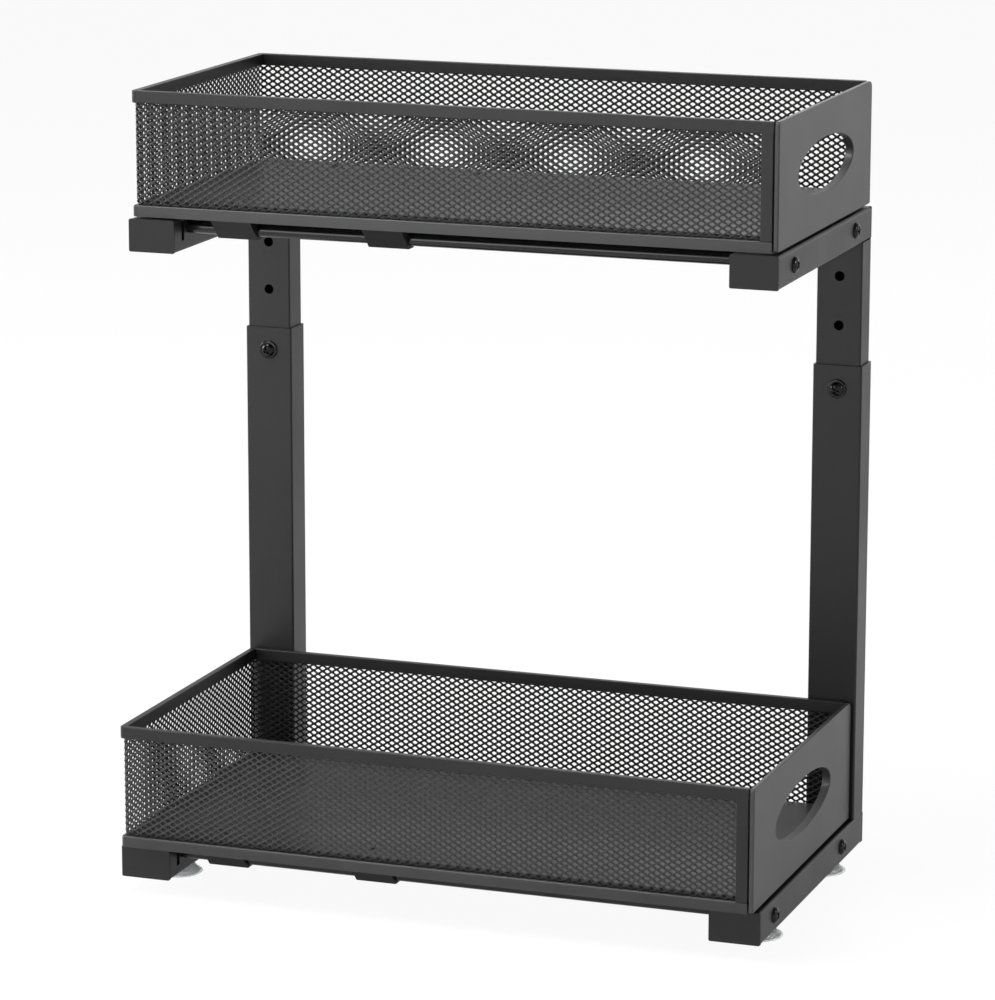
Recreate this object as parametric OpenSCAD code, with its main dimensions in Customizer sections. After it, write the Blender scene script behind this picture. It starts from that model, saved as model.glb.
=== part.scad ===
// Two-tier pull-out organizer for the cupboard under a sink.
// Two side frames stand on suction feet. Each has a telescoping post at the back and a rail per tier.
// Two round rods per tier join the side frames, and a mesh basket slides along them to the right.
// Millimetres. X runs left to right, Y front to back, Z up from the ground, centred on the outline.

/* [Frame] */
// Overall width over the two outer posts
frame_w = 400; // [396:1:410]
// Length of the lower side rails, front to back, end caps included
lower_rail_len = 221.6; // [210:0.2:227]
// Length of the upper side rails, front to back, end caps included
upper_rail_len = 198.5; // [190:0.5:210]
// Width of the lower side rails
lower_rail_w = 31; // [30.5:0.1:33]
// Width of the upper side rails
upper_rail_w = 28.8; // [28:0.1:31]
// Height of all the side rails
rail_h = 19.5; // [19.5:0.1:24]
// Wall thickness of the side rails
rail_wall = 1.2; // [1:0.1:1.5]
// Radius of the rails' long edges
rail_edge_r = 1.8; // [1.5:0.1:2]
// Thickness of an end cap's face
cap_t = 2; // [1.5:0.1:3]
// Radius of the end caps' corners
cap_edge_r = 1; // [0.5:0.1:1.5]

/* [Posts] */
// Width of the outer posts, left to right
post_w = 30.5; // [28:0.1:30.5]
// Depth of the outer posts, front to back
post_d = 21.6; // [20:0.1:24]
// Wall thickness of the posts
post_wall = 1.1; // [0.8:0.1:1.4]
// Gap between an inner post and its outer post, on each side
post_gap = 0.15; // [0.15:0.05:0.3]
// Radius of the posts' long edges
post_edge_r = 1.2; // [1:0.1:2.5]
// Length of the outer posts, above the lower rails
outer_post_len = 282.7; // [276:0.1:289]
// Length of the inner posts, below the upper rails
inner_post_len = 150; // [140:1:180]
// Height of the upper rails' underside above the lower rails' underside
tier_rise = 377.2; // [371:0.1:385]
// Drop of the highest height hole below the upper rail
first_hole_drop = 20.8; // [16:0.1:26]
// Pitch of the two height holes in sight
hole_pitch = 30; // [20:0.5:32]
// Drop of the hole behind the lock screw
lock_hole_drop = 89.2; // [85:0.1:96]
// Radius of the height holes
height_hole_r = 3.05; // [2.5:0.05:3.5]

/* [Rods and screws] */
// Radius of the slide rods
rod_r = 4; // [3:0.1:4]
// Height of the rods' middle above the rails' underside
rod_rise = 13.4; // [12.5:0.1:13.5]
// Distance of the rods from their screws, towards the nearer end of the rails
rod_from_screw = 9.7; // [9:0.1:11]
// Length of a rod's end that is held inside a rail
rod_hold = 12; // [8:0.5:14]
// Height of the rail screws above the rails' underside
screw_rise = 10; // [9:0.1:12]
// Distance of the lower front screws behind the front of their rails
lower_front_screw_in = 29.6; // [28:0.1:34]
// Distance of the lower rear screws in front of the back of their rails
lower_rear_screw_in = 47.6; // [46:0.1:52]
// Distance of the upper front screws behind the front of their rails
upper_front_screw_in = 32.5; // [28:0.1:36]
// Distance of the upper rear screws in front of the back of their rails
upper_rear_screw_in = 35.8; // [33:0.1:44]
// Radius of a rail screw's head
rail_screw_head_r = 4.8; // [4:0.1:5.5]
// Height of a rail screw's domed head
rail_screw_head_h = 2.5; // [2:0.1:3]
// Radius of a lock screw's flange
lock_flange_r = 5.8; // [5:0.1:6.5]

/* [Feet] */
// Radius of a suction foot's lip
foot_r = 14.5; // [12:0.1:15]
// Height of a suction foot below the rail
foot_h = 9.5; // [8:0.1:12]
// Distance of the front feet behind the front of the lower rails
front_foot_in = 49.6; // [40:0.1:60]
// Distance of the rear feet in front of the back of the lower rails
rear_foot_in = 36; // [20:0.1:50]

/* [Baskets] */
// Length of a basket, left to right
basket_len = 395.2; // [375:0.2:396]
// Height of a basket
basket_h = 74.3; // [68:0.1:90]
// Depth of the lower basket, front to back
lower_basket_d = 205.2; // [200:0.2:208]
// Depth of the upper basket, front to back
upper_basket_d = 196; // [190:0.5:198]
// Gap between a rail's top and the basket above it
basket_lift = 1.1; // [1:0.1:5]
// Gap between the outer posts and the lower basket behind it
post_clear = 1.6; // [1:0.1:5]
// Distance of a basket's right face inside the frame's right face
basket_right_in = 2.4; // [2:0.1:4]
// Thickness of the sheet steel
sheet = 1.2; // [1:0.1:1.5]
// Height of the folded top band, and width of its upright strips at the panel end
band_h = 7.2; // [6:0.1:9]
// Height of the band folded down from the floor
base_band_h = 6.7; // [6:0.1:9]
// Height of the raised floor above the base band's fold
floor_rise = 2.2; // [1.5:0.1:3]
// Thickness of the folded top band
band_t = 4; // [4:0.1:5]
// Radius of a basket's upright corners
corner_r = 3; // [2:0.1:3.2]

/* [Mesh] */
// Thickness of the expanded mesh
mesh_t = 1; // [0.8:0.1:1]
// Distance of the mesh behind the face of the bands
mesh_in = 1.6; // [1.5:0.1:1.8]
// Number of diamond columns in a long wall, drawn coarser than the real mesh
long_cols = 14; // [6:1:14]
// Number of diamond columns in the short wall
short_cols = 7; // [3:1:7]
// Number of diamond rows
mesh_rows = 3; // [2:1:3]
// Width of the strands between the diamonds
strand = 2; // [1.5:0.1:4]

/* [Handle] */
// Length of the oval hand hole
handle_len = 117; // [90:1:130]
// Height of the oval hand hole
handle_h = 32; // [26:1:40]
// Height of the hand hole's middle above the basket's underside
handle_rise = 37.9; // [34:0.1:42]
// Depth of the lip turned in around the hand hole
handle_lip = 5; // [3:0.5:8]
// Depth of the end panel's narrow side flanges
panel_flange = 2.6; // [2:0.1:3]
// Depth of the end panel's top flange
panel_top_flange = 4; // [3:0.5:8]
// Width of the seam between the side flanges and the bands
panel_seam = 1; // [0.6:0.1:1.5]

/* [Glides] */
// Width of a glide block along the rod
glide_w = 25; // [20:0.5:27]
// Distance of the left glides from a basket's left end
left_glide_in = 47.5; // [36:0.1:48]
// Distance between the left edges of the left and the middle glides
glide_pitch = 94.9; // [80:0.1:96]
// Gap around the rod in a glide
glide_gap = 0.1; // [0.05:0.01:0.2]

/* [Hidden] */
$fn = 48;
EPS = 0.01;
CUT = 1;
STEEL = [0.2, 0.2, 0.21];
PANEL = [0.34, 0.34, 0.35];
PLASTIC = [0.11, 0.11, 0.12];
SCREW = [0.07, 0.07, 0.08];
CLEAR = [0.85, 0.87, 0.88];

total_d = post_d + post_clear + lower_basket_d;
back_y = total_d / 2;
post_inset = post_wall + post_gap;
inner_w = post_w - 2 * post_inset;
inner_d = post_d - 2 * post_inset;
inner_edge_r = post_edge_r - post_gap;
bore_edge_r = max(post_edge_r - post_wall, 0.3);
lower_rail_z = foot_h;
upper_rail_z = foot_h + tier_rise;
upper_back_y = back_y - post_inset;
lower_rail_front = back_y - lower_rail_len;
upper_rail_front = upper_back_y - upper_rail_len;
lower_out = frame_w / 2;
upper_out = frame_w / 2 - post_inset;
post_y = back_y - post_d / 2;
post_x = frame_w / 2 - post_w / 2;
hole_drops = [first_hole_drop, first_hole_drop + hole_pitch, lock_hole_drop];
lock_z = upper_rail_z - lock_hole_drop;
lock_flange_h = 1.2;
lock_head_h = 2.6;

lower_screws_y = [lower_rail_front + lower_front_screw_in, back_y - lower_rear_screw_in];
upper_screws_y = [upper_rail_front + upper_front_screw_in, upper_back_y - upper_rear_screw_in];
lower_rods_y = lower_screws_y + [-rod_from_screw, rod_from_screw];
upper_rods_y = upper_screws_y + [-rod_from_screw, rod_from_screw];
shank_r = 1.9;
shank_len = 9;
hole_gap = 0.1;
plug_gap = 0.1;
plug_past_screw = 5;

// A suction foot's outline: a stud, a neck, a steep shoulder and a flare down to a flat lip
stud_r = 3;
stud_rise = 2;
neck_r = 5;
neck_h = 3;
shoulder_r = foot_r * 0.72;
shoulder_z = foot_h - neck_h - 2.4;
lip_h = 1;
lip_w = 2.5;
hollow_r = foot_r * 0.45;
hollow_z = 2;
hollow_top = 3;

slit_in = 13.4;
slit_w = 4;
slit_low = 6.1;
slit_h = rail_h - slit_low - rail_edge_r;
slit_pocket = 8;

basket_right = frame_w / 2 - basket_right_in;
basket_left = basket_right - basket_len;
lower_basket_y = back_y - post_d - post_clear - lower_basket_d / 2;
upper_basket_y = upper_back_y - upper_basket_d / 2;
lower_basket_z = lower_rail_z + rail_h + basket_lift;
upper_basket_z = upper_rail_z + rail_h + basket_lift;
band_end = basket_right - panel_flange - panel_seam;
groove_gap = 0.05;
floor_in = band_t + 2 * groove_gap;
mesh_top = basket_h - sheet;
window_low = base_band_h + 2;
window_high = basket_h - band_h - 1;

// A glide's side outline, from the rod's centre: it fills the raised floor, and its outer face slopes
// out to the base band's fold
fold_top = rail_h - rod_rise + basket_lift + base_band_h - sheet;
glide_top = fold_top + floor_rise;
glide_ledge = 1;
glide_slope = 1;
glide_toe = -2.5;
glide_base = -5.7;
glide_heel = 7;
glide_chamfer = 2;
rivet_r = 1.9;
rivet_head_r = 3.8;
rivet_head_h = 1;
rivet_head_curve = 8;
rivet_len = 7;
rivet_hole = 8;
rivet_from_rod = -5;
panel_rear_r = 4;
panel_front_r = 2;
panel_lift = 0.5;
glide_lefts = [left_glide_in, left_glide_in + glide_pitch];

// A rectangle with true round corners, centred
module rounded_rect(w, h, r) {
    square([w, h - 2 * r], center = true);
    square([w - 2 * r, h], center = true);
    for (x = [-1, 1], y = [-1, 1])
        translate([x * (w / 2 - r), y * (h / 2 - r)]) circle(r);
}

// Runs an outline drawn in X and Z along Y
module along_y(y0, y1) {
    translate([0, y1, 0]) rotate([90, 0, 0]) linear_extrude(y1 - y0) children();
}

// Runs an outline drawn in Y and Z along X
module along_x(x0, x1) {
    translate([x0, 0, 0]) rotate([90, 0, 90]) linear_extrude(x1 - x0) children();
}

// One side rail: a tube along Y, with rod holes inside, screw holes outside, foot holes and a slit
module rail(side, w, out, y0, y1, z0, rods_y, screws_y, feet_y) {
    mid_x = side * (out - w / 2);
    mid_z = z0 + rail_h / 2;
    inner_wall = side * (out - w);
    color(STEEL) difference() {
        translate([mid_x, 0, mid_z]) along_y(y0 + cap_t, y1 - cap_t) rounded_rect(w, rail_h, rail_edge_r);
        translate([mid_x, 0, mid_z]) along_y(y0, y1)
            square([w - 2 * rail_wall, rail_h - 2 * rail_wall], center = true);
        for (y = rods_y)
            translate([inner_wall - side * CUT, y, z0 + rod_rise]) rotate([0, side * 90, 0])
                cylinder(r = rod_r + hole_gap, h = w / 2);
        for (y = screws_y)
            translate([side * (out + CUT), y, z0 + screw_rise]) rotate([0, -side * 90, 0])
                cylinder(r = shank_r + hole_gap, h = w / 2);
        for (y = feet_y)
            translate([mid_x, y, z0 - CUT]) cylinder(r = stud_r + hole_gap, h = rail_wall + 2 * CUT);
        translate([inner_wall - 2 * CUT, y0 + slit_in - slit_w / 2, z0 + slit_low])
            cube([4 * CUT, slit_w, slit_h]);
    }
}

// The cap that closes a rail's end: front is -1 or 1, and its plug holds a rod's end and a screw.
// The front plugs are hollow behind the rail's slit.
module end_cap(side, front, w, out, end_y, z0, screw_in, foot_in = 0) {
    plug_w = w - 2 * rail_wall - 2 * plug_gap;
    plug_h = rail_h - 2 * rail_wall - 2 * plug_gap;
    color(PLASTIC) mirror([side < 0 ? 1 : 0, 0, 0]) translate([out - w / 2, end_y, z0])
        mirror([0, front > 0 ? 1 : 0, 0]) difference() {
            translate([0, 0, rail_h / 2]) union() {
                along_y(0, cap_t) rounded_rect(w, rail_h, cap_edge_r);
                along_y(cap_t - EPS, screw_in + plug_past_screw) square([plug_w, plug_h], center = true);
            }
            translate([-w / 2, screw_in - rod_from_screw, rod_rise]) rotate([0, 90, 0])
                cylinder(r = rod_r + hole_gap, h = rod_hold);
            translate([w / 2, screw_in, screw_rise]) rotate([0, -90, 0])
                cylinder(r = shank_r + hole_gap, h = rail_wall + shank_len + CUT);
            if (front < 0)
                translate([-w / 2, slit_in - slit_w / 2, slit_low])
                    cube([rail_wall + slit_pocket, slit_w, slit_h]);
            if (foot_in > 0)
                translate([0, foot_in, 0])
                    cylinder(r = stud_r + hole_gap, h = rail_wall + stud_rise + hole_gap);
        }
}

module outer_post(side) {
    z0 = lower_rail_z + rail_h;
    color(STEEL) difference() {
        translate([side * post_x, post_y, z0])
            linear_extrude(outer_post_len) rounded_rect(post_w, post_d, post_edge_r);
        translate([side * post_x, post_y, z0 - CUT]) linear_extrude(outer_post_len + 2 * CUT)
            rounded_rect(post_w - 2 * post_wall, post_d - 2 * post_wall, bore_edge_r);
        translate([side * post_x, post_y, lock_z]) rotate([90, 0, 0])
            cylinder(r = height_hole_r, h = post_d);
    }
}

module inner_post(side) {
    z0 = upper_rail_z - inner_post_len;
    color(STEEL) difference() {
        translate([side * post_x, post_y, z0])
            linear_extrude(inner_post_len) rounded_rect(inner_w, inner_d, inner_edge_r);
        translate([side * post_x, post_y, z0 - CUT]) linear_extrude(inner_post_len + 2 * CUT)
            rounded_rect(inner_w - 2 * post_wall, inner_d - 2 * post_wall, bore_edge_r);
        for (drop = hole_drops)
            translate([side * post_x, post_y, upper_rail_z - drop]) rotate([90, 0, 0])
                cylinder(r = height_hole_r, h = post_d);
    }
}

// A round rod, its ends held in the plugs of the side rails
module slide_rod(inner_wall, y, z) {
    color(STEEL) translate([0, y, z]) rotate([0, 90, 0])
        cylinder(r = rod_r, h = 2 * (inner_wall + rod_hold), center = true);
}

// A domed screw head with a cross recess, its seat at the origin and its head along +Z
module dome_head(r, h) {
    dome_r = (r * r + h * h) / (2 * h);
    difference() {
        intersection() {
            translate([0, 0, h - dome_r]) sphere(dome_r);
            cylinder(r = r, h = h + CUT);
        }
        for (turn = [0, 90])
            rotate(turn) translate([-r / 2, -r / 10, h * 0.45]) cube([r, r / 5, h]);
    }
}

module rail_screw(side, out, y, z) {
    color(SCREW) translate([side * out, y, z]) rotate([0, side * 90, 0]) union() {
        dome_head(rail_screw_head_r, rail_screw_head_h);
        translate([0, 0, -rail_wall - shank_len]) cylinder(r = shank_r, h = rail_wall + shank_len + 0.2);
    }
}

// The screw that sets the height: its flange and head stand on the outer post's front face
module lock_screw(side) {
    color(SCREW) translate([side * post_x, back_y - post_d, lock_z]) rotate([90, 0, 0]) union() {
        cylinder(r = lock_flange_r, h = lock_flange_h);
        translate([0, 0, lock_flange_h - EPS]) dome_head(lock_flange_r - lock_flange_h, lock_head_h);
        translate([0, 0, -post_wall]) cylinder(r = height_hole_r - 0.15, h = post_wall + EPS);
    }
}

// A clear suction foot: a stud in the rail's floor, a neck and a flared cup cut flat at its lip
module foot(side, y) {
    color(CLEAR) translate([side * (lower_out - lower_rail_w / 2), y, 0]) rotate_extrude() polygon([
        [0, hollow_top], [hollow_r, hollow_z], [foot_r - lip_w, 0], [foot_r, 0],
        [foot_r, lip_h], [shoulder_r, shoulder_z], [neck_r, foot_h - neck_h], [neck_r, foot_h],
        [stud_r, foot_h], [stud_r, foot_h + rail_wall + stud_rise], [0, foot_h + rail_wall + stud_rise]
    ]);
}

// The floor sheet: raised inside the walls, a narrow ledge under them, and a folded base band
module basket_floor(d, z0, rods_y, mid_y) {
    right = basket_right - sheet;
    w = right - basket_left;
    hem_end = band_end - basket_left - w / 2;
    color(PANEL) translate([basket_left + w / 2, mid_y, z0]) difference() {
        union() {
            linear_extrude(base_band_h) rounded_rect(w, d, corner_r);
            translate([floor_in / 2, 0, base_band_h - EPS]) linear_extrude(floor_rise + EPS)
                rounded_rect(w - floor_in, d - 2 * floor_in, corner_r);
        }
        translate([0, 0, -CUT]) linear_extrude(base_band_h - sheet + CUT)
            rounded_rect(w - 2 * sheet, d - 2 * sheet, corner_r - sheet);
        translate([floor_in / 2, 0, base_band_h - sheet - EPS]) linear_extrude(floor_rise + EPS)
            rounded_rect(w - floor_in - 2 * sheet, d - 2 * floor_in - 2 * sheet, corner_r - sheet);
        for (front = [-1, 1])
            translate([hem_end, front * (d / 2 - sheet / 2) - sheet / 2 - CUT, -CUT])
                cube([panel_flange + panel_seam + CUT, sheet + 2 * CUT, base_band_h + 2 * CUT]);
        for (x = glide_lefts, row = [0, 1])
            translate([x + glide_w / 2 - w / 2, rods_y[row] + rivet_y(row) - mid_y, 0])
                cylinder(r = rivet_r + 0.05, h = base_band_h + floor_rise + CUT);
    }
}

// Where a rivet sits from its rod: the front and rear glides are mirror images
function rivet_y(row) = (row == 0 ? 1 : -1) * rivet_from_rod;

// Diamond gaps that fill a window of the wall, in staggered rows
module diamonds(w, low, high, cols) {
    cell_w = w / (cols + 0.5);
    cell_h = (high - low) / (mesh_rows + 0.5);
    half_w = cell_w / 2 - strand / 2 * norm([cell_w, cell_h]) / cell_h;
    half_h = half_w * cell_h / cell_w;
    for (row = [0 : 2 * mesh_rows - 1], col = [0 : cols - 1])
        translate([(col + 0.5 + (row % 2) / 2) * cell_w - w / 2, low + (row + 1) * cell_h / 2])
            polygon([[-half_w, 0], [0, -half_h], [half_w, 0], [0, half_h]]);
}

module mesh_wall(w, cols) {
    difference() {
        translate([-w / 2, base_band_h]) square([w, mesh_top - base_band_h]);
        diamonds(w - 2 * band_t, window_low, window_high, cols);
    }
}

// A long mesh wall: front is -1 for the front wall and 1 for the rear one
module long_mesh(front, d, mid_y, z0) {
    x0 = basket_left + mesh_in;
    x1 = band_end - mesh_in;
    y = mid_y + front * (d / 2 - mesh_in - mesh_t / 2);
    color(STEEL) translate([(x0 + x1) / 2, 0, z0]) along_y(y - mesh_t / 2, y + mesh_t / 2)
        mesh_wall(x1 - x0, long_cols);
}

module end_mesh(d, mid_y, z0) {
    x0 = basket_left + mesh_in;
    color(STEEL) translate([0, mid_y, z0]) along_x(x0, x0 + mesh_t)
        mesh_wall(d - 2 * mesh_in - 2 * mesh_t, short_cols);
}

// The folded top band round three sides, and its upright strips at the panel end, slotted for the mesh
module basket_rim(d, mid_y, z0) {
    w = band_end - basket_left;
    mid_x = (band_end + basket_left) / 2;
    slot_in = mesh_in - groove_gap;
    slot_t = mesh_t + 2 * groove_gap;
    slot_y = d / 2 - slot_in - slot_t / 2;
    color(STEEL) translate([mid_x, mid_y, z0]) difference() {
        union() {
            difference() {
                translate([0, 0, basket_h - band_h]) linear_extrude(band_h) rounded_rect(w, d, corner_r);
                translate([band_t, 0, basket_h - band_h - CUT])
                    linear_extrude(band_h + 2 * CUT) square([w, d - 2 * band_t], center = true);
                translate([w / 2 - corner_r, -d / 2 - CUT, 0])
                    cube([corner_r + CUT, d + 2 * CUT, basket_h + CUT]);
            }
            for (front = [-1, 1])
                translate([w / 2 - band_h, front * (d / 2 - band_t / 2) - band_t / 2, base_band_h])
                    cube([band_h, band_t, basket_h - base_band_h]);
        }
        for (front = [-1, 1])
            translate([slot_in - w / 2, front * slot_y - slot_t / 2, base_band_h - CUT])
                cube([w - 2 * slot_in, slot_t, mesh_top - base_band_h + CUT]);
        translate([slot_in - w / 2, slot_in - d / 2, basket_h - band_h - CUT])
            cube([slot_t, d - 2 * slot_in, band_h - sheet + CUT]);
    }
}

// An oval's points: half its length, half its height and how many
function oval(a, b, count = 64) = [
    for (i = [0 : count - 1]) [a * cos(i * 360 / count), b * sin(i * 360 / count)]
];

// The solid end panel with its oval hand hole, side flanges, top flange and turned-in lip
module handle_panel(d, mid_y, z0) {
    color(PANEL) translate([0, mid_y, z0]) difference() {
        union() {
            along_x(basket_right - sheet, basket_right) {
                translate([-d / 2, panel_lift]) square([d, basket_h - panel_rear_r - panel_lift]);
                translate([panel_front_r - d / 2, panel_lift])
                    square([d - panel_front_r - panel_rear_r, basket_h - panel_lift]);
                translate([panel_front_r - d / 2, basket_h - panel_front_r]) circle(panel_front_r);
                translate([-d / 2, basket_h / 2]) square([d / 2, basket_h / 2 - panel_front_r]);
                translate([d / 2 - panel_rear_r, basket_h - panel_rear_r]) circle(panel_rear_r);
            }
            for (front = [-1, 1])
                translate([basket_right - panel_flange, front * (d - sheet) / 2 - sheet / 2, panel_lift])
                    cube([panel_flange - EPS, sheet, basket_h - panel_rear_r - panel_lift]);
            translate([basket_right - panel_top_flange, band_t + 0.5 - d / 2, basket_h - sheet])
                cube([panel_top_flange - EPS, d - 2 * band_t - 1, sheet]);
            translate([0, 0, handle_rise]) along_x(basket_right - handle_lip, basket_right - EPS)
                polygon(oval(handle_len / 2 + sheet, handle_h / 2 + sheet));
        }
        translate([0, 0, handle_rise]) along_x(basket_right - handle_lip - CUT, basket_right + CUT)
            polygon(oval(handle_len / 2, handle_h / 2));
    }
}

// A moulded glide block that hangs under the floor with the rod through it, inside the base band
module glide(row, col, d, mid_y, rod_y, rod_z) {
    facing = row == 0 ? 1 : -1;
    x0 = basket_left + glide_lefts[col];
    room = d / 2 - sheet - glide_gap - abs(rod_y - mid_y);
    reach = min(room, glide_slope * (fold_top - glide_base) - glide_toe);
    inner_reach = min(room - floor_in, reach - glide_ledge);
    slope_top = glide_base + (reach + glide_toe) / glide_slope;
    color(PLASTIC) translate([0, rod_y, rod_z]) difference() {
        along_x(x0, x0 + glide_w) scale([facing, 1]) polygon([
            [-reach, fold_top], [-reach, slope_top - EPS], [glide_toe, glide_base],
            [glide_heel - glide_chamfer, glide_base], [glide_heel, glide_base + glide_chamfer],
            [glide_heel, glide_top], [-inner_reach, glide_top], [-inner_reach, fold_top]
        ]);
        translate([x0 - CUT, 0, 0]) rotate([0, 90, 0])
            cylinder(r = rod_r + glide_gap, h = glide_w + 2 * CUT);
        translate([x0 + glide_w / 2, rivet_y(row), glide_top - rivet_hole])
            cylinder(r = rivet_r + 0.05, h = rivet_hole + CUT);
    }
}

// The rivets that hold the glides, their low heads on the floor
module glide_rivets(z0, rods_y) {
    floor_z = z0 + base_band_h + floor_rise;
    first_x = basket_left + glide_w / 2;
    for (x = glide_lefts, row = [0, 1])
        color(STEEL) translate([first_x + x, rods_y[row] + rivet_y(row), floor_z]) union() {
            intersection() {
                translate([0, 0, rivet_head_h - rivet_head_curve]) sphere(rivet_head_curve);
                cylinder(r = rivet_head_r, h = rivet_head_h);
            }
            translate([0, 0, -sheet - rivet_len]) cylinder(r = rivet_r, h = sheet + rivet_len + EPS);
        }
}

module lower_rail(side) {
    rail(side, lower_rail_w, lower_out, lower_rail_front, back_y, lower_rail_z, lower_rods_y,
        lower_screws_y, [lower_rail_front + front_foot_in, back_y - rear_foot_in]);
}

module upper_rail(side) {
    rail(side, upper_rail_w, upper_out, upper_rail_front, upper_back_y, upper_rail_z, upper_rods_y,
        upper_screws_y, []);
}

module lower_front_cap(side) {
    end_cap(side, -1, lower_rail_w, lower_out, lower_rail_front, lower_rail_z, lower_front_screw_in,
        front_foot_in);
}

module lower_rear_cap(side) {
    end_cap(side, 1, lower_rail_w, lower_out, back_y, lower_rail_z, lower_rear_screw_in, rear_foot_in);
}

module upper_front_cap(side) {
    end_cap(side, -1, upper_rail_w, upper_out, upper_rail_front, upper_rail_z, upper_front_screw_in);
}

module upper_rear_cap(side) {
    end_cap(side, 1, upper_rail_w, upper_out, upper_back_y, upper_rail_z, upper_rear_screw_in);
}

module lower_rod(row) slide_rod(lower_out - lower_rail_w, lower_rods_y[row], lower_rail_z + rod_rise);
module upper_rod(row) slide_rod(upper_out - upper_rail_w, upper_rods_y[row], upper_rail_z + rod_rise);

module lower_rail_screws() {
    for (side = [-1, 1], y = lower_screws_y) rail_screw(side, lower_out, y, lower_rail_z + screw_rise);
}

module upper_rail_screws() {
    for (side = [-1, 1], y = upper_screws_y) rail_screw(side, upper_out, y, upper_rail_z + screw_rise);
}

module lock_screws() {
    for (side = [-1, 1]) lock_screw(side);
}

module front_foot(side) foot(side, lower_rail_front + front_foot_in);
module rear_foot(side) foot(side, back_y - rear_foot_in);

module lower_floor() basket_floor(lower_basket_d, lower_basket_z, lower_rods_y, lower_basket_y);
module upper_floor() basket_floor(upper_basket_d, upper_basket_z, upper_rods_y, upper_basket_y);
module lower_mesh(front) long_mesh(front, lower_basket_d, lower_basket_y, lower_basket_z);
module upper_mesh(front) long_mesh(front, upper_basket_d, upper_basket_y, upper_basket_z);
module lower_end_mesh() end_mesh(lower_basket_d, lower_basket_y, lower_basket_z);
module upper_end_mesh() end_mesh(upper_basket_d, upper_basket_y, upper_basket_z);
module lower_rim() basket_rim(lower_basket_d, lower_basket_y, lower_basket_z);
module upper_rim() basket_rim(upper_basket_d, upper_basket_y, upper_basket_z);
module lower_panel() handle_panel(lower_basket_d, lower_basket_y, lower_basket_z);
module upper_panel() handle_panel(upper_basket_d, upper_basket_y, upper_basket_z);

module lower_glide(row, col) {
    glide(row, col, lower_basket_d, lower_basket_y, lower_rods_y[row], lower_rail_z + rod_rise);
}

module upper_glide(row, col) {
    glide(row, col, upper_basket_d, upper_basket_y, upper_rods_y[row], upper_rail_z + rod_rise);
}

module lower_rivets() glide_rivets(lower_basket_z, lower_rods_y);
module upper_rivets() glide_rivets(upper_basket_z, upper_rods_y);

lower_rail(-1);  // lower_rail_left
lower_rail(1);  // lower_rail_right
lower_front_cap(-1);  // lower_front_cap_left
lower_front_cap(1);  // lower_front_cap_right
lower_rear_cap(-1);  // lower_rear_cap_left
lower_rear_cap(1);  // lower_rear_cap_right
outer_post(-1);  // outer_post_left
outer_post(1);  // outer_post_right
lower_rod(0);  // lower_rod_front
lower_rod(1);  // lower_rod_rear
lower_rail_screws();
lock_screws();
front_foot(-1);  // foot_front_left
front_foot(1);  // foot_front_right
rear_foot(-1);  // foot_rear_left
rear_foot(1);  // foot_rear_right
upper_rail(-1);  // upper_rail_left
upper_rail(1);  // upper_rail_right
upper_front_cap(-1);  // upper_front_cap_left
upper_front_cap(1);  // upper_front_cap_right
upper_rear_cap(-1);  // upper_rear_cap_left
upper_rear_cap(1);  // upper_rear_cap_right
inner_post(-1);  // inner_post_left
inner_post(1);  // inner_post_right
upper_rod(0);  // upper_rod_front
upper_rod(1);  // upper_rod_rear
upper_rail_screws();
lower_floor();  // lower_basket_floor
lower_mesh(-1);  // lower_mesh_front
lower_mesh(1);  // lower_mesh_rear
lower_end_mesh();  // lower_mesh_end
lower_rim();  // lower_basket_rim
lower_panel();  // lower_handle_panel
lower_glide(0, 0);  // lower_glide_front_left
lower_glide(0, 1);  // lower_glide_front_mid
lower_glide(1, 0);  // lower_glide_rear_left
lower_glide(1, 1);  // lower_glide_rear_mid
lower_rivets();  // lower_glide_rivets
upper_floor();  // upper_basket_floor
upper_mesh(-1);  // upper_mesh_front
upper_mesh(1);  // upper_mesh_rear
upper_end_mesh();  // upper_mesh_end
upper_rim();  // upper_basket_rim
upper_panel();  // upper_handle_panel
upper_glide(0, 0);  // upper_glide_front_left
upper_glide(0, 1);  // upper_glide_front_mid
upper_glide(1, 0);  // upper_glide_rear_left
upper_glide(1, 1);  // upper_glide_rear_mid
upper_rivets();  // upper_glide_rivets
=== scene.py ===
# %% [markdown]
# # A two-tier organizer for under the sink
# Two black side frames stand on suction feet, and a mesh basket slides out of each tier.
# The CAD model holds every size and joint. This notebook adds what the eye looks for:
# fine expanded mesh, folded sheet edges, screw recesses, clear cups and black powder coat.

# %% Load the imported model
from math import atan2, cos, hypot, pi, radians, sin, sqrt

import bmesh
import bpy
from mathutils import Euler, Matrix, Vector


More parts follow.
